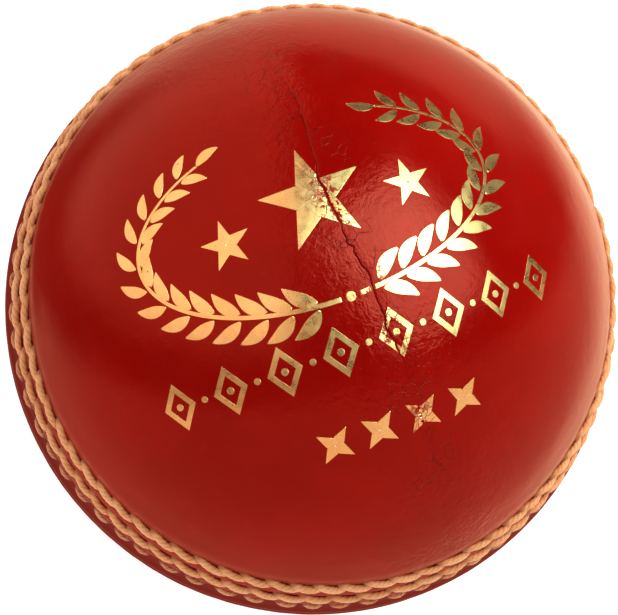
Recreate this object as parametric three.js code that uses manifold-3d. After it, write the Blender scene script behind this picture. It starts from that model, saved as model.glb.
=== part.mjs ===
import * as THREE from "three";
import Module from "manifold-3d";

// A four-piece, hand-stitched cricket ball. Millimetres.
// The origin is the ball's centre. The seam lies in the XY plane and +Z runs through the poles.
// The upper cup's two leather quarters meet in the plane y = 0, the lower cup's in the plane x = 0.

// ---------------------------------------------------------------- driving sizes

const TAU = Math.PI * 2;
const DEG = Math.PI / 180;

const BALL_R = 35.7; // outside of the leather
const LEATHER_T = 3.6;
const LEATHER_GAP = 0.2; // between two leather edges that meet
const LAYER_GAP = 0.3; // between two layers of the inside

const LINING_R = 31.2;
const LINING_T = 0.8;
const NUCLEUS_R = 12;
const YARN_T = 4; // the outermost winding fills what is left under the lining
const CORK_T = 2.7;
const YARN_OPENING = 1.6; // radius of the hole left where a winding was started

const FULL_SEGMENTS = 24; // facets round the inside layers
const FULL_BANDS = 10; // facets from pole to pole
const COVER_SEGMENTS = 36; // facets round the leather

// The three rows of one cup. arc is the distance from the join, measured over the leather.
const ROWS = {
  inner: { arc: 2.6, count: 66, width: 0.9, proud: 0.32, dash: 2.3, drift: 0.3 },
  middle: { arc: 6.7, count: 70, width: 1.8, proud: 0.5, dip: 0.18, lead: 3.1 },
  outer: { arc: 10.4, count: 75, width: 1.9, proud: 0.52, dip: 0.18, lead: 3.1 },
};
const RIDGE = 0.6; // how far the lips at the join stand out
const TRACK_DEPTH = 0.45; // the pressed track each row lies in
const TRACK_SIDE = 0.28; // room beside the thread
const THREAD_LIFT = 0.12; // room under the thread

const QUARTER_THREAD_R = 0.22;
const QUARTER_STITCHES = 26;

// ---------------------------------------------------------------- looks

const COLOURS = {
  cork_composite: 0x9c6a3f,
  worsted_yarn: 0xd9cdb8,
  cork_sheet: 0xb98a58,
  lining_leather: 0xc9a27c,
  red_leather: 0x8e1210,
  seam_thread: 0xe2b083,
};
const ROUGHNESS = { red_leather: 0.28 };

// ---------------------------------------------------------------- small helpers

const wasm = await Module();
wasm.setup();

function onSphere(radius, latitude, azimuth) {
  return new THREE.Vector3(
    radius * Math.cos(latitude) * Math.cos(azimuth),
    radius * Math.cos(latitude) * Math.sin(azimuth),
    radius * Math.sin(latitude),
  );
}

function meshOf(name, geometry, look) {
  const material = new THREE.MeshStandardMaterial({
    name: look,
    color: COLOURS[look],
    roughness: ROUGHNESS[look] ?? 0.8,
  });
  const mesh = new THREE.Mesh(geometry, material);
  mesh.name = name;
  return mesh;
}

// Turned about +Z. profile is a list of [radius, z].
function turned(profile, segments) {
  const points = profile.map(([x, z]) => new THREE.Vector2(Math.max(x, 0), z));
  const geometry = new THREE.LatheGeometry(points, segments);
  geometry.rotateX(Math.PI / 2);
  return geometry;
}

// A geometry as a closed solid that can be cut by planes.
function solidOf(geometry) {
  const position = geometry.getAttribute("position");
  const index = geometry.getIndex();
  const seen = new Map();
  const vertices = [];
  const numberOf = (i) => {
    const xyz = [position.getX(i), position.getY(i), position.getZ(i)];
    const key = xyz.map((c) => Math.round(c * 1e4)).join("_");
    if (!seen.has(key)) {
      seen.set(key, vertices.length / 3);
      vertices.push(...xyz);
    }
    return seen.get(key);
  };
  const triangles = [];
  for (let i = 0; i < index.count; i += 3) {
    const [a, b, c] = [0, 1, 2].map((k) => numberOf(index.getX(i + k)));
    if (a !== b && b !== c && c !== a) {
      triangles.push(a, b, c);
    }
  }
  const mesh = new wasm.Mesh({
    numProp: 3,
    vertProperties: new Float32Array(vertices),
    triVerts: new Uint32Array(triangles),
  });
  const solid = new wasm.Manifold(mesh);
  return solid.volume() > 0 ? solid : new wasm.Manifold(flipped(mesh));
}

function flipped(mesh) {
  const turnedOver = mesh.triVerts.slice();
  for (let i = 0; i < turnedOver.length; i += 3) {
    const keep = turnedOver[i];
    turnedOver[i] = turnedOver[i + 1];
    turnedOver[i + 1] = keep;
  }
  return new wasm.Mesh({
    numProp: 3,
    vertProperties: mesh.vertProperties,
    triVerts: turnedOver,
  });
}

function geometryOf(solid) {
  const mesh = solid.getMesh();
  const geometry = new THREE.BufferGeometry();
  geometry.setAttribute("position", new THREE.BufferAttribute(mesh.vertProperties, 3));
  geometry.setIndex(new THREE.BufferAttribute(mesh.triVerts, 1));
  geometry.computeVertexNormals();
  return geometry;
}

// ---------------------------------------------------------------- inside: nucleus, yarn, cork

function arcProfile(radius, fromBand, toBand) {
  const profile = [];
  const step = fromBand < toBand ? 1 : -1;
  for (let band = fromBand; band !== toBand + step; band += step) {
    const latitude = (band / FULL_BANDS - 0.5) * Math.PI;
    const onAxis = band === 0 || band === FULL_BANDS;
    profile.push([onAxis ? 0 : radius * Math.cos(latitude), radius * Math.sin(latitude)]);
  }
  return profile;
}

function nucleus() {
  return turned(arcProfile(NUCLEUS_R, 0, FULL_BANDS), FULL_SEGMENTS);
}

// A wound shell, open at the top where its end is tucked in.
function winding(inside, outside = inside + YARN_T) {
  const outer = arcProfile(outside, 0, FULL_BANDS - 1);
  const inner = arcProfile(inside, FULL_BANDS - 1, 0);
  const rim = [
    [YARN_OPENING, outside * 0.999],
    [YARN_OPENING, inside * 0.999],
  ];
  return turned([...outer, ...rim, ...inner], FULL_SEGMENTS);
}

function shellSolid(inside, outside) {
  const outer = solidOf(turned(arcProfile(outside, 0, FULL_BANDS), FULL_SEGMENTS));
  const inner = solidOf(turned(arcProfile(inside, 0, FULL_BANDS), FULL_SEGMENTS));
  return outer.subtract(inner);
}

// One cup of a shell: the part on the side that direction points to.
function cup(inside, outside, direction, gap) {
  const half = shellSolid(inside, outside).trimByPlane(direction, gap / 2);
  return geometryOf(half);
}

// ---------------------------------------------------------------- cover leather

function trackProfile(row) {
  const half = row.width / 2 + TRACK_SIDE;
  const floor = BALL_R - TRACK_DEPTH;
  return [
    [row.arc + half + 0.2, BALL_R],
    [row.arc + half, floor],
    [row.arc - half, floor],
    [row.arc - half - 0.2, BALL_R],
  ];
}

// The outside of one leather cup from the pole to the join, as [arc from the join, radius].
function coverOutside() {
  const crown = [78, 67, 56, 46, 37, 29, 23].map((lat) => [lat * DEG * BALL_R, BALL_R]);
  return [
    ...crown,
    ...trackProfile(ROWS.outer),
    ...trackProfile(ROWS.middle),
    ...trackProfile(ROWS.inner),
    [1.15, BALL_R + 0.7 * RIDGE],
    [0.5, BALL_R + RIDGE],
    [0, BALL_R + 0.3 * RIDGE],
  ];
}

function leatherCup() {
  const inside = BALL_R - LEATHER_T;
  const profile = [[0, BALL_R]];
  for (const [arc, radius] of coverOutside()) {
    const latitude = arc / BALL_R;
    profile.push([radius * Math.cos(latitude), radius * Math.sin(latitude)]);
  }
  for (const lat of [0, 11, 22, 33, 44, 55, 66, 78]) {
    profile.push([inside * Math.cos(lat * DEG), inside * Math.sin(lat * DEG)]);
  }
  profile.push([0, inside]);
  return solidOf(turned(profile, COVER_SEGMENTS)).trimByPlane([0, 0, 1], LEATHER_GAP / 2);
}

function leatherQuarter(isUpper, side) {
  const across = isUpper ? [0, side, 0] : [side, 0, 0];
  const whole = isUpper ? leatherCup() : leatherCup().rotate([180, 0, 0]);
  return geometryOf(whole.trimByPlane(across, LEATHER_GAP / 2));
}

// ---------------------------------------------------------------- stitching

// Joins sections of equal length, each a closed loop of points, into one ring.
function ringOf(sections) {
  const size = sections[0].length;
  const positions = sections.flat().flatMap((p) => [p.x, p.y, p.z]);
  const index = [];
  sections.forEach((_, i) => {
    const here = i * size;
    const next = ((i + 1) % sections.length) * size;
    for (let k = 0; k < size; k += 1) {
      const l = (k + 1) % size;
      index.push(here + k, next + k, next + l);
      index.push(here + k, next + l, here + l);
    }
  });
  const geometry = new THREE.BufferGeometry();
  geometry.setAttribute("position", new THREE.Float32BufferAttribute(positions, 3));
  geometry.setIndex(index);
  return geometryOf(solidOf(geometry));
}

const THREAD_FLOOR = BALL_R - TRACK_DEPTH + THREAD_LIFT;

// One slanting cut through a rope-like row, from its pole side to its join side.
function slantSection(row, azimuth, top, spread) {
  const latitude = row.arc / BALL_R;
  const half = row.width / 2 / BALL_R;
  const skew = row.lead / 2 / (BALL_R * Math.cos(latitude));
  const at = (side, radius) =>
    onSphere(radius, latitude + side * half, azimuth - side * skew);
  return [
    at(1 * spread, THREAD_FLOOR),
    at(0.6 * spread, top),
    at(-0.6 * spread, top),
    at(-1 * spread, THREAD_FLOOR),
  ];
}

// A row of overlapping slanted stitches.
function ropeRow(row) {
  const sections = [];
  const pitch = TAU / row.count;
  for (let stitch = 0; stitch < row.count; stitch += 1) {
    const azimuth = stitch * pitch;
    sections.push(slantSection(row, azimuth, BALL_R + row.proud, 1));
    sections.push(slantSection(row, azimuth + pitch / 2, BALL_R + row.dip, 0.86));
  }
  return ringOf(sections);
}

function squareSection(row, azimuth, drift, top, spread) {
  const latitude = (row.arc + drift) / BALL_R;
  const half = (row.width / 2 / BALL_R) * spread;
  return [
    onSphere(THREAD_FLOOR, latitude + half, azimuth),
    onSphere(top, latitude + half * 0.7, azimuth),
    onSphere(top, latitude - half * 0.7, azimuth),
    onSphere(THREAD_FLOOR, latitude - half, azimuth),
  ];
}

// A row of separate stitches: the thread sinks into the leather between one and the next.
function dashRow(row) {
  const sections = [];
  const pitch = TAU / row.count;
  const dash = row.dash / BALL_R;
  for (let stitch = 0; stitch < row.count; stitch += 1) {
    const azimuth = stitch * pitch;
    const top = BALL_R + row.proud;
    sections.push(squareSection(row, azimuth, row.drift / 2, top, 0.9));
    sections.push(squareSection(row, azimuth + dash * 0.8, -row.drift / 2, top, 0.9));
    sections.push(squareSection(row, azimuth + (dash + pitch) / 2, 0, BALL_R - 0.14, 0.7));
  }
  return ringOf(sections);
}

function stitchRow(which, isUpper) {
  const geometry = which === "inner" ? dashRow(ROWS.inner) : ropeRow(ROWS[which]);
  if (!isUpper) {
    geometry.rotateX(Math.PI);
  }
  return geometry;
}

// The hidden thread that closes a cup's two quarters from the inside, over and over the joint.
function quarterSeamThread(isUpper) {
  const radius = LINING_R + 0.16 + QUARTER_THREAD_R;
  const points = [];
  for (let k = 0; k <= QUARTER_STITCHES; k += 1) {
    const angle = (6 + (168 * k) / QUARTER_STITCHES) * DEG;
    const across = k % 2 ? 0.45 : -0.45;
    points.push(
      new THREE.Vector3(radius * Math.cos(angle), across, radius * Math.sin(angle)),
    );
  }
  const path = new THREE.CatmullRomCurve3(points);
  const profile = new THREE.Shape(
    [45, 135, 225, 315].map(
      (a) =>
        new THREE.Vector2(
          QUARTER_THREAD_R * Math.cos(a * DEG),
          QUARTER_THREAD_R * Math.sin(a * DEG),
        ),
    ),
  );
  const geometry = new THREE.ExtrudeGeometry(profile, {
    steps: QUARTER_STITCHES * 2,
    extrudePath: path,
    bevelEnabled: false,
  });
  if (!isUpper) {
    geometry.rotateX(Math.PI);
    geometry.rotateZ(Math.PI / 2);
  }
  return geometry;
}

// ---------------------------------------------------------------- assembly

const ball = new THREE.Group();
ball.name = "cricket_ball";

function add(name, geometry, look) {
  ball.add(meshOf(name, geometry, look));
}

function addCorkCups(name, inside, direction) {
  const away = direction.map((c) => -c);
  add(`${name}_a`, cup(inside, inside + CORK_T, direction, LAYER_GAP), "cork_sheet");
  add(`${name}_b`, cup(inside, inside + CORK_T, away, LAYER_GAP), "cork_sheet");
}

// The quilted core, from the middle outwards.
function addCore() {
  let radius = NUCLEUS_R;
  add("core_nucleus", nucleus(), "cork_composite");
  radius += LAYER_GAP;
  add("yarn_winding_inner", winding(radius), "worsted_yarn");
  radius += YARN_T + LAYER_GAP;
  addCorkCups("cork_cup_inner", radius, [1, 0, 0]);
  radius += CORK_T + LAYER_GAP;
  add("yarn_winding_middle", winding(radius), "worsted_yarn");
  radius += YARN_T + LAYER_GAP;
  addCorkCups("cork_cup_outer", radius, [0, 1, 0]);
  radius += CORK_T + LAYER_GAP;
  const underLining = LINING_R - LINING_T - LAYER_GAP;
  add("yarn_winding_outer", winding(radius, underLining), "worsted_yarn");
}

// Lining, cover and stitching of one cup.
function addCup(isUpper) {
  const half = isUpper ? "upper" : "lower";
  const outwards = [0, 0, isUpper ? 1 : -1];
  const lining = cup(LINING_R - LINING_T, LINING_R, outwards, LAYER_GAP);
  add(`lining_${half}`, lining, "lining_leather");
  add(`leather_quarter_${half}_a`, leatherQuarter(isUpper, 1), "red_leather");
  add(`leather_quarter_${half}_b`, leatherQuarter(isUpper, -1), "red_leather");
  add(`quarter_seam_thread_${half}`, quarterSeamThread(isUpper), "seam_thread");
  for (const which of Object.keys(ROWS)) {
    add(`stitch_row_${half}_${which}`, stitchRow(which, isUpper), "seam_thread");
  }
}

addCore();
addCup(true);
addCup(false);

export default ball;
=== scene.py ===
import math

import bpy
import numpy as np
from mathutils import Matrix, Vector


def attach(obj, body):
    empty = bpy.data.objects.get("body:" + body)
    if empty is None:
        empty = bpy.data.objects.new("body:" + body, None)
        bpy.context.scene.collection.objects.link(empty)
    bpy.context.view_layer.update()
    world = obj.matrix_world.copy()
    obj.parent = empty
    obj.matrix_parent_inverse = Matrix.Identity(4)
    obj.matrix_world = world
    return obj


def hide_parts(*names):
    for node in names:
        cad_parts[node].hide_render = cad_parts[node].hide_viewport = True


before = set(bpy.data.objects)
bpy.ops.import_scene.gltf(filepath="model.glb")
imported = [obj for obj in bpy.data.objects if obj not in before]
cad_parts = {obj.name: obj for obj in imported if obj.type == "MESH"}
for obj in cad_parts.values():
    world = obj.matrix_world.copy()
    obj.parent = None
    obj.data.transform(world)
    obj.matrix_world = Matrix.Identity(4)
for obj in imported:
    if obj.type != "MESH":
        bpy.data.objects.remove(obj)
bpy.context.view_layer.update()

# ------------------------------------------------------------------ sizes, in millimetres

MM = 0.001
TAU = 2 * math.pi
BALL_R = 35.7
QUARTER_TURN = math.pi / 2 * BALL_R
LEATHER_T = 3.5
JOIN_HALF = 0.1

ROWS = {
    "outer": {"arc": 10.1, "count": 75},
    "middle": {"arc": 6.4, "count": 70},
    "inner": {"arc": 2.6, "count": 66},
}
ROPE = {"length": 4.2, "half_drift": 0.42, "wide": 0.52, "thick": 0.40}
DASH = {"length": 2.5, "half_drift": 0.15, "wide": 0.42, "thick": 0.30}
STITCH_STEPS, STITCH_AROUND = 20, 21


# ------------------------------------------------------------------ small helpers

def waves(points, seed, size, octaves=1, gain=0.5):
    """Smooth noise from -1 to 1 at points (n, 3) in mm, with features about size mm across."""
    rng = np.random.RandomState(seed)
    total, reach, amp = np.zeros(len(points)), 0.0, 1.0
    for _ in range(octaves):
        layer = np.zeros(len(points))
        for _ in range(9):
            direction = rng.normal(size=3)
            direction /= np.linalg.norm(direction)
            turn = TAU / (size * rng.uniform(0.8, 1.5))
            layer += np.sin(points @ direction * turn + rng.uniform(0, TAU))
        total += amp * layer / 4.2
        reach += amp
        size, amp = size / 2, amp * gain
    return np.clip(total / reach, -1.3, 1.3)


def smooth(edge0, edge1, x):
    t = np.clip((x - edge0) / (edge1 - edge0), 0, 1)
    return t * t * (3 - 2 * t)


def bump_at(x, centre, width):
    return np.exp(-(((x - centre) / width) ** 2))


def sphere_points(radius, latitude, azimuth):
    return np.stack(
        [
            radius * np.cos(latitude) * np.cos(azimuth),
            radius * np.cos(latitude) * np.sin(azimuth),
            radius * np.sin(latitude),
        ],
        axis=-1,
    )


def mesh_object(name, verts_mm, faces, smooth_shading=True):
    mesh = bpy.data.meshes.new(name)
    mesh.from_pydata((np.asarray(verts_mm) * MM).tolist(), [], faces)
    mesh.update()
    mesh.validate()
    mesh.polygons.foreach_set("use_smooth", [smooth_shading] * len(mesh.polygons))
    obj = bpy.data.objects.new(name, mesh)
    bpy.context.scene.collection.objects.link(obj)
    return obj


def add_attribute(obj, name, values):
    layer = obj.data.attributes.new(name, "FLOAT", "POINT")
    layer.data.foreach_set("value", np.asarray(values, dtype=np.float32))


def lower_cup(points):
    """Upper cup coordinates to lower cup coordinates: turned over, its quarter seam turned by 90 degrees."""
    x, y, z = points[..., 0], points[..., 1], points[..., 2]
    return np.stack([y, x, -z], axis=-1)


# ------------------------------------------------------------------ stitches: where each one lies

def stitch_plan(row, seed):
    """Azimuth of each stitch's middle, with its own length, drift and tint."""
    rng = np.random.RandomState(seed)
    count = ROWS[row]["count"]
    step = 1 + 0.09 * rng.normal(size=count)
    step = np.clip(step, 0.8, 1.25)
    if row != "inner":
        step[rng.randint(count)] *= 1.45
    azimuth = np.cumsum(step) / step.sum() * TAU
    return {
        "azimuth": azimuth,
        "stretch": step / step.mean(),
        "drift": 1 + 0.18 * rng.normal(size=count),
        "thick": 1 + 0.05 * rng.normal(size=count),
        "side": 0.09 * rng.normal(size=count),
        "tint": rng.uniform(0, 1, size=count),
    }


PLANS = {row: stitch_plan(row, seed) for row, seed in (("outer", 11), ("middle", 23), ("inner", 37))}


def hole_azimuths(row):
    """Between each stitch and the next."""
    azimuth = PLANS[row]["azimuth"]
    following = np.append(azimuth[1:], azimuth[0] + TAU)
    return (azimuth + following) / 2


# ------------------------------------------------------------------ leather

def crack_offset(x):
    """How far the quarter seam wanders sideways at x, in mm."""
    slow = 1.9 * (1 - np.tanh((x + 13) / 6)) + 0.3 * np.exp(-(((x - 3) / 5) ** 2)) - smooth(14, 31, x)
    line = np.stack([x, 0 * x, 0 * x], axis=-1).reshape(-1, 3)
    ragged = 0.15 * waves(line, 71, 4.5).reshape(np.shape(x))
    ragged += 0.24 * waves(line, 72, 1.7, octaves=2, gain=0.75).reshape(np.shape(x))
    return slow + ragged * crack_shown(x)


def crack_shown(x):
    """1 where the lacquer has parted over the quarter seam, 0 where it has closed up."""
    return smooth(-24, -17, x) * smooth(15, 10, x)


def crack_gap(x):
    return 0.003 + crack_shown(x) * (0.002 + 0.007 * (1 + np.sin(x / 1.3 + 1.0)))


def creases(points, seed):
    """Fine creases that run off the quarter seam."""
    rng = np.random.RandomState(seed)
    depth = np.zeros(len(points))
    for _ in range(64):
        x0 = rng.uniform(-26, 26)
        side = rng.choice([-1, 1])
        y0 = side * rng.uniform(0.0, 1.6)
        angle = rng.uniform(0.25, 1.3) * side * rng.choice([-1, 1])
        reach = rng.uniform(1.2, 5.5)
        bend = rng.uniform(-0.16, 0.16)
        width = rng.uniform(0.05, 0.09)
        deep = rng.uniform(0.25, 1.0)
        near = (np.abs(points[:, 0] - x0) < reach + 1) & (np.abs(points[:, 1] - y0) < reach + 1)
        p = points[near]
        if not len(p):
            continue
        u = np.array([math.cos(angle), math.sin(angle)])
        along = (p[:, 0] - x0) * u[0] + (p[:, 1] - y0) * u[1]
        across = -(p[:, 0] - x0) * u[1] + (p[:, 1] - y0) * u[0]
        across = across - bend * along**2 / reach - 0.07 * np.sin(along * 2.4 + x0)
        fade = smooth(0, 0.3, along) * smooth(reach, reach * 0.5, along)
        depth[near] += deep * fade * np.exp(-((across / width) ** 2))
    return depth


def leather_height(points, arc, azimuth, cup_seed):
    """How far the outside of the leather stands off the 35.7 mm sphere."""
    height = 0.05 * waves(points, 5 + cup_seed, 30) + 0.016 * waves(points, 6 + cup_seed, 9)
    height += 0.0035 * waves(points, 7 + cup_seed, 2.6, octaves=2)
    # pressed tracks under the rows, with the leather swelling between them
    for row, depth, width in (("outer", 0.27, 0.95), ("middle", 0.27, 0.9), ("inner", 0.24, 0.55)):
        height -= depth * bump_at(arc, ROWS[row]["arc"], width)
    height += 0.10 * bump_at(arc, 8.55, 0.75) + 0.12 * bump_at(arc, 4.7, 0.9)
    height += 0.06 * bump_at(arc, 12.5, 1.4)
    # the lips of the join stand up as a ridge, with a notch between them
    height += 0.62 * bump_at(arc, 0.55, 0.8)
    height -= 0.3 * np.exp(-((arc / 0.26) ** 2))
    # each stitch pulls a dimple at its holes
    for row in ROWS:
        near = np.abs(arc - ROWS[row]["arc"]) < 2.2
        if not near.any():
            continue
        holes = hole_azimuths(row)
        gap = (azimuth[near][:, None] - holes[None, :] + math.pi) % TAU - math.pi
        along = np.abs(gap).min(axis=1) * BALL_R
        centre = ROWS[row]["arc"]
        pull = np.exp(-((along / 0.75) ** 2)) * bump_at(arc[near], centre, 1.35)
        height[near] -= 0.11 * pull
    return height


def quarter_columns():
    """Azimuth from one end of the quarter seam to the other, closest together at the seam."""
    fine = np.array([0, 0.03, 0.07, 0.12, 0.2, 0.32, 0.5, 0.75])
    half_turn = 2 * QUARTER_TURN
    body = np.linspace(1.05, half_turn - 1.05, 300)
    return np.concatenate([fine, body, half_turn - fine[::-1]]) / BALL_R


def quarter_rows():
    """Arc from the join, out to the pole."""
    seam = np.concatenate([[0.0, 0.05, 0.12, 0.22, 0.34], np.arange(0.5, 14.0, 0.2)])
    crown = np.linspace(14.3, QUARTER_TURN - 1.3, 120)
    tip = QUARTER_TURN - np.array([1.0, 0.74, 0.52, 0.34, 0.2, 0.1, 0.04])
    return np.concatenate([seam, crown, tip])


def bridge(a, ta, b, tb):
    """Triangles between two runs of vertices, each ordered by a rising parameter."""
    faces, i, j = [], 0, 0
    while i < len(a) - 1 or j < len(b) - 1:
        if j == len(b) - 1 or (i < len(a) - 1 and ta[i + 1] <= tb[j + 1]):
            faces.append((a[i], a[i + 1], b[j]))
            i += 1
        else:
            faces.append((a[i], b[j + 1], b[j]))
            j += 1
    return faces


def grid_faces(rows, columns, start, pole):
    """Quads of a rows x columns grid, closed over the pole vertex by triangles."""
    faces = []
    for r in range(rows - 1):
        base = start + r * columns
        for c in range(columns - 1):
            faces.append((base + c, base + c + 1, base + columns + c + 1, base + columns + c))
    last = start + (rows - 1) * columns
    for c in range(columns - 1):
        faces.append((last + c, last + c + 1, pole))
    return faces


def half_cap(arcs, azimuths, radius, side, cup_seed, outside):
    """Points of one quarter's surface, the pole last. side is +1 for y > 0 and -1 for y < 0."""
    arc, azimuth = (m.ravel() for m in np.meshgrid(arcs, azimuths, indexing="ij"))
    arc = np.append(arc, QUARTER_TURN)
    azimuth = np.append(azimuth, math.pi / 2)
    if side < 0:
        azimuth = -azimuth
    points = sphere_points(BALL_R, arc / BALL_R, azimuth)
    # the join: both cups stop just short of the middle plane
    points[:, 2] = JOIN_HALF + points[:, 2] * (1 - JOIN_HALF / BALL_R)
    x, y = points[:, 0], points[:, 1]
    away = np.abs(y)
    shift = crack_offset(x) + side * crack_gap(x)
    points[:, 1] = y + shift * np.exp(-((away / 7) ** 2))
    points *= (BALL_R / np.linalg.norm(points, axis=1))[:, None]
    facts = {"arc": arc, "crack": away + 0.4 * (1 - crack_shown(x)), "seam": away}
    if not outside:
        return points * (radius / BALL_R), facts
    height = leather_height(points, arc, azimuth % TAU, cup_seed)
    relief, facts["wrinkle"] = seam_relief(points, arc, away, cup_seed)
    return points * ((BALL_R + height + relief) / BALL_R)[:, None], facts


def seam_relief(points, arc, away, cup_seed):
    """The parted quarter seam, with the creases and puckers beside it."""
    free = smooth(12.2, 15.5, arc)
    shown = crack_shown(points[:, 0])
    relief = -0.07 * np.exp(-away / 0.06) * (0.06 + 0.94 * shown * free)
    relief -= 0.03 * np.exp(-((away / 0.8) ** 2)) * free
    wrinkle = creases(points, 91 + cup_seed) * free
    pucker = waves(points * [1, 0.5, 1], 55 + cup_seed, 1.5, octaves=2)
    relief -= 0.024 * wrinkle
    relief += 0.010 * pucker * np.exp(-((away / 3.4) ** 2)) * free
    return relief, wrinkle


def leather_quarter(name, upper, side, cup_seed):
    rows, columns = quarter_rows(), quarter_columns()
    top, facts = half_cap(rows, columns, BALL_R, side, cup_seed, True)
    in_rows, in_columns = np.linspace(0, 52, 16), np.linspace(0, math.pi, 33)
    under, _ = half_cap(in_rows, in_columns, BALL_R - LEATHER_T, side, cup_seed, False)
    n_top = len(top)
    pole, in_pole = n_top - 1, n_top + len(under) - 1
    faces = grid_faces(len(rows), len(columns), 0, pole)
    inner = grid_faces(len(in_rows), len(in_columns), n_top, in_pole)
    faces += [tuple(reversed(f)) for f in inner]
    # the walls: along the join, then up one side of the quarter seam and down the other
    join_out, join_in = list(range(len(columns))), list(range(n_top, n_top + len(in_columns)))
    faces += [tuple(reversed(f)) for f in bridge(join_out, columns, join_in, in_columns)]
    for last in (False, True):
        c, ci = (len(columns) - 1, len(in_columns) - 1) if last else (0, 0)
        out = [r * len(columns) + c for r in range(len(rows))] + [pole]
        ins = [n_top + r * len(in_columns) + ci for r in range(len(in_rows))] + [in_pole]
        wall = bridge(out, np.append(rows, QUARTER_TURN), ins, np.append(in_rows, QUARTER_TURN))
        faces += [tuple(reversed(f)) for f in wall] if last else wall
    points = np.vstack([top, under])
    if not upper:
        points = lower_cup(points)
    if side < 0:
        faces = [tuple(reversed(f)) for f in faces]
    obj = mesh_object(name, points, faces)
    for key in ("arc", "crack", "wrinkle", "seam"):
        values = np.concatenate([facts[key], np.full(len(under), 20.0 if key != "wrinkle" else 0)])
        add_attribute(obj, key, values)
    return obj


# ------------------------------------------------------------------ thread

def thread_piece(path, side_dir, up_dir, wide, thick, turns, taper):
    """A short length of twisted three-ply thread along path (n, 3).

    Returns points, faces and how far each point stands up on its ply.
    """
    n, around = len(path), STITCH_AROUND
    t = np.linspace(0, 1, n)
    theta = np.arange(around) / around * TAU
    crest = np.abs(np.cos(1.5 * (theta[None, :] - turns * TAU * t[:, None])))
    ply = 1 + 0.17 * (crest - 0.75)
    swell = (1 - taper * (2 * t - 1) ** 4)[:, None]
    a = wide * ply * swell * np.cos(theta)[None, :]
    b = thick * ply * swell * np.sin(theta)[None, :]
    points = path[:, None, :] + a[..., None] * side_dir[:, None, :] + b[..., None] * up_dir[:, None, :]
    faces = []
    for i in range(n - 1):
        for k in range(around):
            k2 = (k + 1) % around
            faces.append((i * around + k, i * around + k2, (i + 1) * around + k2, (i + 1) * around + k))
    faces.append(tuple(reversed(range(around))))
    faces.append(tuple((n - 1) * around + k for k in range(around)))
    return points.reshape(-1, 3), faces, crest.ravel()


def stitch(row, plan, k, shape):
    """One stitch: it leaves the leather on the pole side, lies over it and goes back in on the join side."""
    rope = row != "inner"
    t = np.linspace(0, 1, STITCH_STEPS)
    length = shape["length"] * (0.35 + 0.65 * plan["stretch"][k])
    drift = shape["half_drift"] * plan["drift"][k]
    arc0 = ROWS[row]["arc"] + plan["side"][k]
    s_curve = np.cos(math.pi * np.clip(t * 1.1 - 0.05, 0, 1))
    arc = arc0 + drift * s_curve
    latitude = arc / BALL_R
    run = (t - 0.5) * length
    azimuth = plan["azimuth"][k] + run / (BALL_R * math.cos(arc0 / BALL_R))
    dive = np.sin(math.pi * t) ** (0.62 if rope else 0.5)
    low, high = (-0.55, 0.14) if rope else (-0.6, 0.04)
    radius = BALL_R + low + (high - low) * dive
    path = sphere_points(1.0, latitude, azimuth) * radius[:, None]
    tangent = np.gradient(path, axis=0)
    tangent /= np.linalg.norm(tangent, axis=1)[:, None]
    out = path / np.linalg.norm(path, axis=1)[:, None]
    side_dir = np.cross(tangent, out)
    side_dir /= np.linalg.norm(side_dir, axis=1)[:, None]
    up_dir = np.cross(side_dir, tangent)
    thick = plan["thick"][k]
    turns = length / 2.6 + plan["tint"][k]
    return thread_piece(path, side_dir, up_dir, shape["wide"] * thick, shape["thick"] * thick, turns, 0.22)


def stitch_row(name, row, upper):
    plan = PLANS[row]
    shape = DASH if row == "inner" else ROPE
    all_points, all_faces, tints, ends, crests, offset = [], [], [], [], [], 0
    for k in range(len(plan["azimuth"])):
        points, faces, crest = stitch(row, plan, k, shape)
        crests.append(crest)
        all_points.append(points)
        all_faces += [tuple(i + offset for i in f) for f in faces]
        tints.append(np.full(len(points), plan["tint"][k]))
        ends.append(np.repeat(np.linspace(-1, 1, STITCH_STEPS), STITCH_AROUND))
        offset += len(points)
    points = np.vstack(all_points)
    if not upper:
        points = lower_cup(points)
    obj = mesh_object(name, points, all_faces)
    add_attribute(obj, "tint", np.concatenate(tints))
    add_attribute(obj, "run", np.concatenate(ends))
    add_attribute(obj, "crest", np.concatenate(crests))
    return obj


# ------------------------------------------------------------------ gold foil ornament

FOIL_MIDDLE = np.array([0.0876, -0.1143, 0.9896])
FOIL_RIGHT = np.array([0.1135, 0.9881, 0.1041])
FOIL_UP = np.cross(FOIL_MIDDLE, FOIL_RIGHT)
FOIL_THICK = 0.022
LOZENGE_STEPS = 96


def on_ball(flat):
    """Points (n, 2) in mm of the ornament's flat drawing, laid onto the leather.

    Returns their directions from the middle of the ball, the leather's radius there and how far the seam is.
    """
    reach = np.maximum(np.linalg.norm(flat, axis=1), 1e-9)
    turn = reach / BALL_R
    sideways = (flat[:, :1] * FOIL_RIGHT + flat[:, 1:] * FOIL_UP) / reach[:, None]
    points = BALL_R * (np.cos(turn)[:, None] * FOIL_MIDDLE + np.sin(turn)[:, None] * sideways)
    points *= BALL_R / np.linalg.norm(points, axis=1)[:, None]
    x, y = points[:, 0], points[:, 1]
    arc = BALL_R * np.arcsin(np.clip(points[:, 2] / BALL_R, -1, 1))
    away = np.abs(y - crack_offset(x) * np.exp(-((y / 7) ** 2)))
    relief, _ = seam_relief(points, arc, away, 0)
    height = leather_height(points, arc, np.arctan2(y, x) % TAU, 0) + relief
    return points / BALL_R, BALL_R + height, away


def spread_across(width):
    """Places across a band, from -1 to 1, a fifth of a millimetre apart, with a hair's breadth at each edge."""
    return np.concatenate([[-1, -0.96], np.linspace(-0.86, 0.86, max(1, int(width / 0.22)) | 1), [0.96, 1]])


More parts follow.
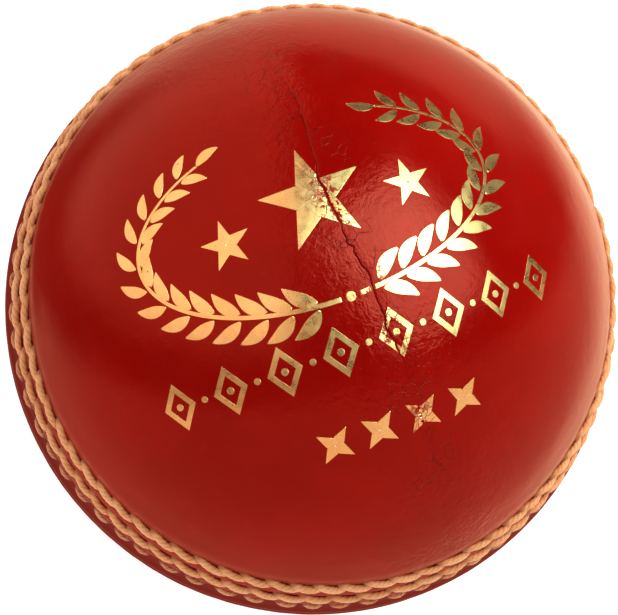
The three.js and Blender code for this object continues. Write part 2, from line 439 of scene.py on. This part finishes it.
def stroke(path, half):
    """A band along path (n, 2), half wide each side: a grid (n, across, 2)."""
    tangent = np.gradient(path, axis=0)
    tangent /= np.linalg.norm(tangent, axis=1)[:, None]
    normal = np.stack([-tangent[:, 1], tangent[:, 0]], axis=1)
    return path[:, None, :] + normal[:, None, :] * (half[:, None] * spread_across(2 * half.max()))[..., None]


def leaf(root, angle, length, half):
    """A slightly bent leaf that grows out of root."""
    t = np.linspace(0, 1, max(12, int(length / 0.16)))
    bend = 0.10 * length * np.sin(math.pi * t)
    along = np.array([math.cos(angle), math.sin(angle)])
    side = np.array([-along[1], along[0]])
    path = np.asarray(root) + np.outer(t * length, along) + np.outer(bend, side)
    return stroke(path, half * (0.04 + np.sin(math.pi * t**0.85) ** 0.9))


def star(middle, points, outer, inner, turn):
    """One kite to each point."""
    grids = []
    for k in range(points):
        angle = turn + TAU * k / points
        along = np.array([math.cos(angle), math.sin(angle)])
        s = np.linspace(0.001, 0.99, max(10, int(outer / 0.15)))
        hip, wide = inner * math.cos(math.pi / points) / outer, inner * math.sin(math.pi / points)
        half = wide * np.where(s < hip, s / hip, (1 - s) / (1 - hip))
        grids.append(stroke(np.asarray(middle) + np.outer(s * outer, along), half))
    return grids


def lozenge(middle, wide, tall, hollow):
    """An outline: the grid closes on itself."""
    corners = np.array([[wide, 0], [0, tall], [-wide, 0], [0, -tall], [wide, 0]])
    t = np.linspace(0, 4, LOZENGE_STEPS, endpoint=False)
    k = np.minimum(t.astype(int), 3)
    loop = corners[k] + (t - k)[:, None] * (corners[k + 1] - corners[k])
    scale = hollow + (1 - hollow) * (spread_across(0.9) + 1) / 2
    return np.asarray(middle) + loop[:, None, :] * scale[None, :, None]


def dot(middle, radius):
    s = np.linspace(-0.97, 0.97, 12)
    path = np.asarray(middle) + np.stack([s * radius, 0 * s], axis=1)
    return stroke(path, radius * np.sqrt(1 - s**2))


def wreath():
    middle, wide, tall = np.array([2.0, 9.8]), 21.5, 11.0
    grids = []
    for sign in (-1, 1):
        t = np.linspace(0, 1, 300)
        angle = math.radians(-90) + sign * math.radians(146) * t + sign * 0.05
        path = middle + np.stack([wide * np.cos(angle), tall * np.sin(angle)], axis=1)
        grids.append(stroke(path, 0.26 - 0.12 * t))
        run = np.concatenate([[0], np.cumsum(np.linalg.norm(np.diff(path, axis=0), axis=1))])
        for k, distance in enumerate(np.arange(2.4, run[-1] - 0.6, 2.9)):
            i = int(np.searchsorted(run, distance))
            heading = math.atan2(*(path[min(i + 1, 299)] - path[i - 1])[::-1])
            size = 1 - 0.28 * distance / run[-1]
            for side in (-1, 1):
                start = path[i] + 0.42 * side * np.array([-math.sin(heading), math.cos(heading)])
                grids.append(leaf(start, heading + side * 0.62, 4.3 * size, 0.78 * size))
        grids.append(leaf(path[-1], heading, 3.4, 0.6))
    grids.append(dot((2.0, -1.2), 0.55))
    grids += star((2.0, 10.4), 5, 6.2, 2.4, math.pi / 2)
    for sign in (-1, 1):
        grids += star((2.0 + sign * 10.8, 8.8), 5, 3.0, 1.15, math.pi / 2)
    return grids


def lozenge_row():
    grids = []
    for k in range(8):
        u = -20.4 + 6.45 * k
        grids.append(lozenge((u, -6.5), 2.05, 2.9, 0.62))
        grids.append(dot((u, -6.5), 0.42))
        if k < 7:
            grids.append(dot((u + 3.22, -6.5), 0.38))
    return grids


def star_row():
    return [g for k in range(4) for g in star((-5.0 + 5.3 * k, -16.4), 4, 2.5, 1.0, math.pi / 4)]


def foil_piece(name, grids):
    """Every band of the ornament as a thin closed sheet on the leather, parted where the seam has opened."""
    verts, faces, seam, offset = [], [], [], 0
    for grid in grids:
        n, m = grid.shape[:2]
        loop = np.linalg.norm(grid[0, 0] - grid[-1, 0]) < 0.5 and n == LOZENGE_STEPS
        ray, radius, away = on_ball(grid.reshape(-1, 2))
        lost = (away < 0.02 + 0.06 * crack_shown(ray[:, 0] * BALL_R)).reshape(n, m)
        after = (np.arange(n) + 1) % n
        # one cell per step along and across
        gone = lost[:, :-1] | lost[:, 1:] | lost[after][:, :-1] | lost[after][:, 1:]
        kept = ~gone
        if not loop:
            kept[-1] = False
        # cells that would only touch at a corner go too
        for _ in range(4):
            up, down = kept, kept[after]
            diagonal = up[:, :-1] & down[:, 1:] & ~up[:, 1:] & ~down[:, :-1]
            kept[:, :-1] &= ~diagonal
            up, down = kept, kept[after]
            diagonal = up[:, 1:] & down[:, :-1] & ~up[:, :-1] & ~down[:, 1:]
            kept[:, 1:] &= ~diagonal
        top = ray * (radius + FOIL_THICK)[:, None]
        low = ray * (radius - 0.05)[:, None]
        number = {}

        def vertex(i, c, lower):
            key = (i % n, c, lower)
            if key not in number:
                number[key] = offset + len(number)
                verts.append((low if lower else top)[(i % n) * m + c])
                seam.append(away[(i % n) * m + c])
            return number[key]

        for i, c in np.argwhere(kept):
            around = [(i, c), (i + 1, c), (i + 1, c + 1), (i, c + 1)]
            faces.append(tuple(vertex(*p, False) for p in around))
            faces.append(tuple(vertex(*p, True) for p in reversed(around)))
            beside = [(i, c - 1), (i + 1, c), (i, c + 1), (i - 1, c)]
            for k, (bi, bc) in enumerate(beside):
                inside = 0 <= bc < m - 1 and (loop or 0 <= bi < n)
                if inside and kept[bi % n, bc]:
                    continue
                p, q = around[k], around[(k + 1) % 4]
                faces.append((vertex(*q, False), vertex(*p, False), vertex(*p, True), vertex(*q, True)))
        offset += len(number)
    obj = mesh_object(name, np.array(verts), faces)
    add_attribute(obj, "seam", np.array(seam))
    return obj


# ------------------------------------------------------------------ materials

class Nodes:
    """Short names for building a node tree."""

    def __init__(self, name, tree=None):
        if tree:
            self.tree = tree
            return
        self.material = bpy.data.materials.new(name)
        self.material.use_nodes = True
        self.tree = self.material.node_tree
        self.tree.nodes.clear()
        out = self.add("ShaderNodeOutputMaterial")
        self.bsdf = self.add("ShaderNodeBsdfPrincipled")
        self.link(self.bsdf.outputs[0], out.inputs["Surface"])

    def add(self, kind, **values):
        node = self.tree.nodes.new(kind)
        for key, value in values.items():
            setattr(node, key, value)
        return node

    def link(self, a, b):
        self.tree.links.new(a, b)

    def feed(self, socket, value):
        if isinstance(value, bpy.types.NodeSocket):
            self.link(value, socket)
        else:
            socket.default_value = value

    def attribute(self, name):
        return self.add("ShaderNodeAttribute", attribute_name=name).outputs["Fac"]

    def place(self):
        return self.add("ShaderNodeTexCoord").outputs["Object"]

    def noise(self, scale, detail=4.0, roughness=0.55, vector=None):
        node = self.add("ShaderNodeTexNoise")
        node.inputs["Scale"].default_value = scale
        node.inputs["Detail"].default_value = detail
        node.inputs["Roughness"].default_value = roughness
        self.link(vector if vector is not None else self.place(), node.inputs["Vector"])
        return node.outputs["Fac"]

    def cells(self, scale, feature="F1", vector=None):
        node = self.add("ShaderNodeTexVoronoi", feature=feature)
        node.inputs["Scale"].default_value = scale
        self.link(vector if vector is not None else self.place(), node.inputs["Vector"])
        return node.outputs["Distance"]

    def wavy_place(self, scale, reach):
        """Object coordinates pushed about by noise."""
        noise = self.add("ShaderNodeTexNoise")
        noise.inputs["Scale"].default_value = scale
        noise.inputs["Detail"].default_value = 3
        place = self.place()
        self.link(place, noise.inputs["Vector"])
        push = self.add("ShaderNodeVectorMath", operation="MULTIPLY_ADD")
        self.link(noise.outputs["Color"], push.inputs[0])
        push.inputs[1].default_value = (reach, reach, reach)
        self.link(place, push.inputs[2])
        return push.outputs[0]

    def towards(self, direction, axis):
        """How nearly direction points along the fixed axis."""
        node = self.add("ShaderNodeVectorMath", operation="DOT_PRODUCT")
        self.link(direction, node.inputs[0])
        node.inputs[1].default_value = axis
        return node.outputs["Value"]

    def math(self, operation, a, b=0.0):
        node = self.add("ShaderNodeMath", operation=operation)
        self.feed(node.inputs[0], a)
        self.feed(node.inputs[1], b)
        return node.outputs[0]

    def ramp(self, value, low, high, out_low=0.0, out_high=1.0):
        node = self.add("ShaderNodeMapRange", interpolation_type="SMOOTHSTEP", clamp=True)
        self.link(value, node.inputs["Value"])
        node.inputs["From Min"].default_value = low
        node.inputs["From Max"].default_value = high
        node.inputs["To Min"].default_value = out_low
        node.inputs["To Max"].default_value = out_high
        return node.outputs["Result"]

    def mix(self, factor, a, b):
        node = self.add("ShaderNodeMix", data_type="RGBA")
        self.feed(node.inputs["Factor"], factor)
        self.feed(node.inputs[6], a)
        self.feed(node.inputs[7], b)
        return node.outputs[2]

    def bump(self, height, strength, distance, normal=None):
        node = self.add("ShaderNodeBump")
        node.inputs["Strength"].default_value = strength
        node.inputs["Distance"].default_value = distance
        self.link(height, node.inputs["Height"])
        if normal is not None:
            self.link(normal, node.inputs["Normal"])
        return node.outputs["Normal"]


def near_value(n, value, centre, width):
    """1 where value is centre, falling to 0 at width away."""
    away = n.math("ABSOLUTE", n.math("SUBTRACT", value, centre))
    return n.ramp(away, 0.0, width, 1.0, 0.0)


def red_leather():
    n = Nodes("red_leather")
    arc, crack, wrinkle, seam = (n.attribute(key) for key in ("arc", "crack", "wrinkle", "seam"))
    cloud = n.noise(70, 5)
    blotch = n.noise(420, 3)
    base = n.mix(n.ramp(cloud, 0.35, 0.68), (0.283, 0.0009, 0.0001, 1), (0.325, 0.0014, 0.0001, 1))
    base = n.mix(n.ramp(blotch, 0.52, 0.75, 0.0, 0.3), base, (0.36, 0.003, 0.001, 1))
    # painted shade in the quarter seam where it has parted, along its edges, in its creases and in the fine
    # crackle of the lacquer beside it
    dark = (0.06, 0.0020, 0.0012, 1)
    closed = n.ramp(n.noise(300, 3), 0.4, 0.6, 0.12, 0.85)
    base = n.mix(n.math("MULTIPLY", n.ramp(crack, 0.02, 0.085, 1.0, 0.0), closed), base, dark)
    base = n.mix(n.ramp(crack, 0.05, 0.45, 0.22, 0.0), base, (0.16, 0.0008, 0.0008, 1))
    base = n.mix(n.ramp(wrinkle, 0.2, 1.0, 0.0, 0.45), base, dark)
    crackle = n.ramp(n.cells(620, "DISTANCE_TO_EDGE", n.wavy_place(900, 0.0012)), 0.012, 0.05, 1.0, 0.0)
    beside = n.math("MULTIPLY", n.ramp(seam, 6.5, 1.5, 0.0, 1.0), n.ramp(arc, 18, 28, 0.0, 1.0))
    patchy = n.ramp(n.noise(230, 3), 0.46, 0.6)
    crackle = n.math("MULTIPLY", crackle, n.math("MULTIPLY", beside, patchy))
    base = n.mix(n.math("MULTIPLY", crackle, 0.42), base, dark)
    # waxed thread has left a stain on the leather beside each rope-like row
    stain = None
    for centre in (ROWS["outer"]["arc"], ROWS["middle"]["arc"]):
        band = near_value(n, arc, centre, 2.3)
        stain = band if stain is None else n.math("MAXIMUM", stain, band)
    ragged = n.ramp(n.noise(900, 3), 0.35, 0.65, 0.25, 1.0)
    base = n.mix(n.math("MULTIPLY", n.math("MULTIPLY", stain, ragged), 0.7), base, (0.40, 0.075, 0.018, 1))
    # painted shade: the leather is darker towards the join, across the track of the inner row
    base = n.mix(n.ramp(arc, 4.8, 1.6, 0.0, 0.7), base, (0.16, 0.007, 0.003, 1))
    # small pale scuffs
    fleck = n.ramp(n.cells(330), 0.028, 0.045, 1.0, 0.0)
    rare = n.ramp(n.noise(160, 2), 0.6, 0.68)
    base = n.mix(n.math("MULTIPLY", n.math("MULTIPLY", fleck, rare), 0.4), base, (0.45, 0.06, 0.03, 1))
    n.link(base, n.bsdf.inputs["Base Color"])
    rough = n.ramp(n.noise(220, 4), 0.3, 0.7, 0.13, 0.20)
    near_seam = n.ramp(arc, 12.6, 11.2, 0.0, 0.30)
    n.link(n.math("ADD", rough, near_seam), n.bsdf.inputs["Roughness"])
    # the red lacquer colours its own reflections, which only go pale at a glancing angle
    n.bsdf.inputs["Metallic"].default_value = 0.15
    n.bsdf.inputs["Specular IOR Level"].default_value = 0.145
    n.bsdf.inputs["Specular Tint"].default_value = (1.0, 1.0, 0.85, 1)
    pebble = n.cells(1500, "SMOOTH_F1")
    grain = n.math("ADD", n.math("MULTIPLY", pebble, 0.6), n.noise(2600, 3))
    pores = n.ramp(n.cells(700), 0.0, 0.12, 0.0, 1.0)
    first = n.bump(grain, 0.05, 0.0001)
    second = n.bump(pores, 0.04, 0.00015, first)
    third = n.bump(n.noise(330, 3), 0.10, 0.0004, second)
    fourth = n.bump(n.math("SUBTRACT", 1.0, crackle), 0.4, 0.00006, third)
    # the lacquer is finely wrinkled where the leather has worked beside the quarter seam
    worked = n.math("MULTIPLY", n.ramp(seam, 13, 3, 0.12, 1.0), n.ramp(n.noise(150, 3), 0.38, 0.62, 0.35, 1.0))
    ripple = n.math("MULTIPLY", n.noise(1250, 3, 0.6, n.wavy_place(700, 0.0009)), worked)
    fifth = n.bump(ripple, 0.5, 0.00021, fourth)
    n.link(n.bump(n.noise(3300, 2), 0.3, 0.00004, fifth), n.bsdf.inputs["Normal"])
    return n.material


def gold_foil():
    n = Nodes("gold_foil")
    wear = n.ramp(n.noise(1500, 4, 0.65), 0.66, 0.72, 0.0, 0.85)
    # more is rubbed and cracked off where the leather works beside the quarter seam
    beside = n.ramp(n.attribute("seam"), 3.4, 0.5, 0.0, 1.0)
    rubbed = n.ramp(n.math("ADD", n.noise(1300, 4, 0.7), n.math("MULTIPLY", beside, 0.1)), 0.64, 0.67)
    split = n.ramp(n.cells(620, "DISTANCE_TO_EDGE", n.wavy_place(900, 0.0012)), 0.02, 0.05, 1.0, 0.0)
    near = n.math("MULTIPLY", beside, n.math("MAXIMUM", rubbed, n.math("MULTIPLY", split, 0.8)))
    wear = n.math("MAXIMUM", wear, near)
    tone = n.ramp(n.noise(300, 3), 0.35, 0.7)
    gold = n.mix(tone, (0.95, 0.54, 0.26, 1), (1.0, 0.63, 0.34, 1))
    n.link(n.mix(wear, gold, (0.34, 0.012, 0.003, 1)), n.bsdf.inputs["Base Color"])
    n.link(n.math("SUBTRACT", 1.0, wear), n.bsdf.inputs["Metallic"])
    n.bsdf.inputs["Specular IOR Level"].default_value = 0.15
    n.link(n.ramp(n.noise(800, 3), 0.3, 0.7, 0.24, 0.36), n.bsdf.inputs["Roughness"])
    wrinkled = n.bump(n.noise(900, 4, 0.6, n.wavy_place(500, 0.001)), 0.14, 0.00010)
    n.link(wrinkled, n.bsdf.inputs["Normal"])
    return n.material


def seam_thread(name, colours, shade_colour):
    n = Nodes(name)
    tint, run = n.attribute("tint"), n.attribute("run")
    base = n.mix(tint, colours[0], colours[1])
    base = n.mix(n.ramp(n.noise(700, 4), 0.42, 0.7, 0.0, 0.55), base, colours[2])
    # painted shade: the furrows between the plies and the ends of each stitch, where it goes into the leather,
    # take the darker shade colour
    furrow = n.ramp(n.attribute("crest"), 0.1, 0.62, 0.5, 0.0)
    base = n.mix(furrow, base, shade_colour)
    ends = n.ramp(n.math("ABSOLUTE", run), 0.5, 0.95, 0.0, 0.9)
    base = n.mix(ends, base, shade_colour)
    n.link(base, n.bsdf.inputs["Base Color"])
    n.bsdf.inputs["Roughness"].default_value = 0.72
    n.bsdf.inputs["Specular IOR Level"].default_value = 0.3
    n.bsdf.inputs["Sheen Weight"].default_value = 0.15
    n.bsdf.inputs["Sheen Roughness"].default_value = 0.5
    fibre = n.noise(3400, 4, 0.65)
    n.link(n.bump(fibre, 0.7, 0.00012), n.bsdf.inputs["Normal"])
    return n.material


def plain_grain(name, dark, light, scale, roughness, strength):
    n = Nodes(name)
    cell, soft = n.cells(scale), n.noise(scale * 0.4, 5)
    base = n.mix(n.ramp(soft, 0.3, 0.7), dark, light)
    base = n.mix(n.ramp(cell, 0.0, 0.3, 0.5, 0.0), base, tuple(c * 0.45 for c in dark[:3]) + (1,))
    n.link(base, n.bsdf.inputs["Base Color"])
    n.bsdf.inputs["Roughness"].default_value = roughness
    n.link(n.bump(n.math("ADD", cell, soft), strength, 0.0004), n.bsdf.inputs["Normal"])
    return n.material


def yarn():
    n = Nodes("worsted_yarn")
    wave = n.add("ShaderNodeTexWave", wave_type="BANDS", bands_direction="DIAGONAL")
    wave.inputs["Scale"].default_value = 260
    wave.inputs["Distortion"].default_value = 2.5
    wave.inputs["Detail"].default_value = 3
    n.link(n.place(), wave.inputs["Vector"])
    strand = wave.outputs["Fac"]
    base = n.mix(strand, (0.42, 0.34, 0.24, 1), (0.72, 0.64, 0.5, 1))
    n.link(base, n.bsdf.inputs["Base Color"])
    n.bsdf.inputs["Roughness"].default_value = 0.9
    n.bsdf.inputs["Sheen Weight"].default_value = 0.3
    n.link(n.bump(strand, 0.8, 0.0006), n.bsdf.inputs["Normal"])
    return n.material


# ------------------------------------------------------------------ build the ball

LEATHER = red_leather()
THREAD = seam_thread(
    "seam_thread",
    [(0.84, 0.35, 0.13, 1), (0.92, 0.43, 0.18, 1), (0.68, 0.23, 0.06, 1)],
    (0.36, 0.075, 0.012, 1),
)
# painted shade: a darker copy of the seam thread for the inner row, which lies low in its track beside the join
THREAD_SHADED = seam_thread(
    "seam_thread_shaded",
    [(0.66, 0.22, 0.085, 1), (0.80, 0.33, 0.14, 1), (0.50, 0.09, 0.03, 1)],
    (0.10, 0.008, 0.006, 1),
)

for is_upper in (True, False):
    half = "upper" if is_upper else "lower"
    for letter, side in (("a", 1), ("b", -1)):
        piece = leather_quarter(f"cover_{half}_{letter}", is_upper, side, 0 if is_upper else 400)
        piece.data.materials.append(LEATHER)
        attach(piece, "root")
        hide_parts(f"leather_quarter_{half}_{letter}")
    for row in ROWS:
        piece = stitch_row(f"stitches_{half}_{row}", row, is_upper)
        piece.data.materials.append(THREAD_SHADED if row == "inner" else THREAD)
        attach(piece, "root")
        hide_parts(f"stitch_row_{half}_{row}")

FOIL = gold_foil()
ORNAMENT = {"foil_wreath": wreath, "foil_lozenges": lozenge_row, "foil_small_stars": star_row}
for name, draw in ORNAMENT.items():
    piece = foil_piece(name, draw())
    piece.data.materials.append(FOIL)
    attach(piece, "root")

INSIDE = {
    "core_nucleus": plain_grain(
        "cork_composite", (0.22, 0.10, 0.04, 1), (0.40, 0.2, 0.08, 1), 420, 0.85, 0.5
    ),
    "cork_cup": plain_grain(
        "cork_sheet", (0.36, 0.19, 0.08, 1), (0.55, 0.33, 0.15, 1), 600, 0.85, 0.4
    ),
    "yarn_winding": yarn(),
    "lining": plain_grain(
        "lining_leather", (0.45, 0.27, 0.14, 1), (0.62, 0.4, 0.23, 1), 1100, 0.7, 0.2
    ),
    "quarter_seam_thread": THREAD,
}
for node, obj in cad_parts.items():
    for start, material in INSIDE.items():
        if node.startswith(start):
            obj.data.materials.clear()
            obj.data.materials.append(material)


# ------------------------------------------------------------------ stage, lights and camera

def floor():
    """A plain pale floor, 6 m across."""
    edge = 3000.0
    corners = [(x, y, -BALL_R) for x, y in ((-edge, -edge), (edge, -edge), (edge, edge), (-edge, edge))]
    obj = mesh_object("floor", corners, [(0, 1, 2, 3)], False)
    n = Nodes("pale_floor")
    n.bsdf.inputs["Base Color"].default_value = (0.9, 0.9, 0.9, 1)
    n.bsdf.inputs["Roughness"].default_value = 0.9
    n.bsdf.inputs["Specular IOR Level"].default_value = 0.1
    n.bsdf.inputs["Emission Color"].default_value = (1, 1, 1, 1)
    n.bsdf.inputs["Emission Strength"].default_value = 0.55
    obj.visible_glossy = False
    obj.data.materials.append(n.material)


floor()

VIEW_AZ, VIEW_EL, VIEW_ROLL, VIEW_DISTANCE = 30.0, 77.6, 33.7, 0.357
IMAGE_WIDTH, LENS_PX, SENSOR_MM = 618, 2994.9, 36
az, el = math.radians(VIEW_AZ), math.radians(VIEW_EL)
BACK = Vector((math.sin(az) * math.cos(el), -math.cos(az) * math.cos(el), math.sin(el)))
LEVEL = BACK.to_track_quat("Z", "Y").to_matrix()
CAMERA_AXES = LEVEL @ Matrix.Rotation(math.radians(VIEW_ROLL), 3, "Z")
RIGHT, UP = CAMERA_AXES.col[0], CAMERA_AXES.col[1]

camera = bpy.data.objects.new("camera", bpy.data.cameras.new("camera"))
bpy.context.scene.collection.objects.link(camera)
bpy.context.scene.camera = camera
pixel = VIEW_DISTANCE / LENS_PX
aim = RIGHT * (-2.05 * pixel) + UP * (1.2 * pixel)
camera.matrix_world = Matrix.Translation(aim + BACK * VIEW_DISTANCE) @ CAMERA_AXES.to_4x4()
camera.data.sensor_width = SENSOR_MM
camera.data.lens = LENS_PX * SENSOR_MM / IMAGE_WIDTH
camera.data.clip_start, camera.data.clip_end = 0.01, 20


def area_light(name, direction, distance, size, power):
    """A soft light that doesn't show in gloss. direction is right, up and out of the main view."""
    towards = (CAMERA_AXES @ Vector(direction)).normalized()
    data = bpy.data.lights.new(name, "AREA")
    data.shape, data.size, data.energy = "SQUARE", size, power
    obj = bpy.data.objects.new(name, data)
    obj.location = towards * distance
    obj.rotation_mode = "QUATERNION"
    obj.rotation_quaternion = towards.to_track_quat("Z", "Y")
    obj.visible_glossy = False
    bpy.context.scene.collection.objects.link(obj)


area_light("key", (0.66, 0.62, 0.22), 1.0, 0.9, 10.2)


def studio_world():
    """White all round, with large soft panels that only show in gloss, as in a product tent."""
    world = bpy.data.worlds.new("studio")
    bpy.context.scene.world = world
    world.use_nodes = True
    world.cycles.sampling_method = "NONE"
    n = Nodes("", world.node_tree)
    n.tree.nodes.clear()
    look = n.add("ShaderNodeTexCoord").outputs["Generated"]

    def along(x, y, z):
        return n.towards(look, (CAMERA_AXES @ Vector((x, y, z))).normalized())

    table = n.ramp(along(0.12, -0.884, -0.451), 0.07, 0.22, 0.0, 1.0)
    raised = n.ramp(along(-0.12, 0.884, 0.451), 0.06, 0.34)
    left = n.ramp(along(-1, 0, 0), 0.05, 0.2)
    front = n.ramp(along(0, 0, 1), -0.62, -0.3)
    left_panel = n.math("MULTIPLY", n.math("MULTIPLY", raised, left), front)
    behind = n.ramp(along(0, 0, -1), 0.52, 0.8)
    behind = n.math("MULTIPLY", behind, n.ramp(along(0.78, 0.62, 0), -0.3, 0.2))
    overhead = n.ramp(along(0.19, 0, -1), 0.36, 0.49)
    overhead = n.math("MULTIPLY", overhead, n.ramp(along(-0.5, 0.87, 0), 0.0, 0.3))
    overhead = n.math("MULTIPLY", overhead, n.ramp(along(1, 0, 0), -0.6, -0.36))
    behind = n.math("MAXIMUM", behind, overhead)
    ahead = n.math("MAXIMUM", along(0.541, 0.418, 0.73), 0.05)
    span, core = 1.0, 0.8
    for axis, middle, half, soft, glow in (
        ((0.62, -0.78, 0.0), 0.12, 0.50, 0.10, 0.36),
        ((0.55, 0.45, -0.70), -0.07, 0.42, 0.13, 0.42),
    ):
        across = n.math("DIVIDE", along(*axis), ahead)
        from_middle = n.math("ABSOLUTE", n.math("SUBTRACT", across, middle))
        span = n.math("MULTIPLY", n.ramp(from_middle, half - soft, half + soft, 1.0, 0.0), span)
        core = n.math("MULTIPLY", n.ramp(n.math("ABSOLUTE", across), 0.0, glow, 1.0, 0.0), core)
    span = n.math("MULTIPLY", span, n.math("ADD", core, 1.0))
    total = 0.12
    for part, strength in ((table, 1.05), (left_panel, 1.6), (behind, 1.1)):
        total = n.math("ADD", total, n.math("MULTIPLY", part, strength))
    rays = n.add("ShaderNodeLightPath").outputs
    glossy = rays["Is Glossy Ray"]
    lit = n.math("ADD", 0.8, n.math("MULTIPLY", rays["Is Camera Ray"], 0.3))
    pick = n.add("ShaderNodeMix", data_type="FLOAT")
    n.link(glossy, pick.inputs[0])
    n.link(lit, pick.inputs[2])
    n.link(n.math("MULTIPLY", total, 0.8), pick.inputs[3])
    tent = n.add("ShaderNodeBackground")
    n.link(n.mix(glossy, (1, 1, 1, 1), (1, 0.72, 0.45, 1)), tent.inputs["Color"])
    n.link(pick.outputs[0], tent.inputs["Strength"])
    window = n.add("ShaderNodeBackground")
    window.inputs["Color"].default_value = (0.66, 1.0, 0.74, 1)
    n.link(n.math("MULTIPLY", n.math("MULTIPLY", span, glossy), 5.9), window.inputs["Strength"])
    both = n.add("ShaderNodeAddShader")
    n.link(tent.outputs[0], both.inputs[0])
    n.link(window.outputs[0], both.inputs[1])
    n.link(both.outputs[0], n.add("ShaderNodeOutputWorld").inputs["Surface"])


studio_world()

view_settings = bpy.context.scene.view_settings
view_settings.view_transform = "Standard"
